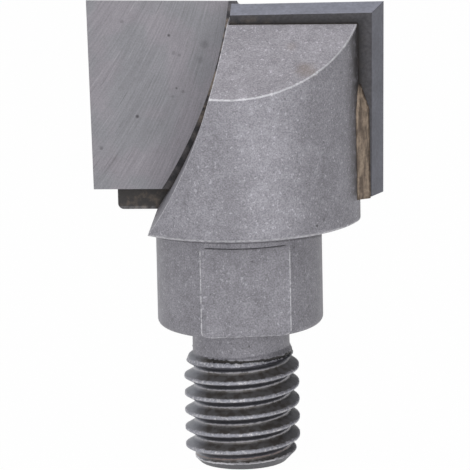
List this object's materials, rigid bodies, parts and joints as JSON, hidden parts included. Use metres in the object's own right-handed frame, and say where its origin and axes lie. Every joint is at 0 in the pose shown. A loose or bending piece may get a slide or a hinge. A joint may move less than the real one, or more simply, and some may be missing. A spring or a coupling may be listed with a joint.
{
  "type": "router bit",
  "caption": "Threaded-shank router bit: a steel head with chip gullets carries brazed carbide tips for slots and mortises, with spanner flats on its collar.",
  "frame": {"origin": "centre of the shank's end face", "axes": "+Z along the bit's axis towards the cutting end, +X towards the cutting edge whose rake face looks to +Y"},
  "size_m": [0.025, 0.0214, 0.0395],
  "materials": {
    "steel": "blasted, dull grey",
    "carbide": "ground, fine arc scratches",
    "braze": "dull brown, uneven"
  },
  "bodies": {
    "root": {"cutter_body": "steel", "carbide_tip_left": "carbide", "carbide_tip_right": "carbide", "braze_left": "braze", "braze_right": "braze"}
  },
  "joints": []
}
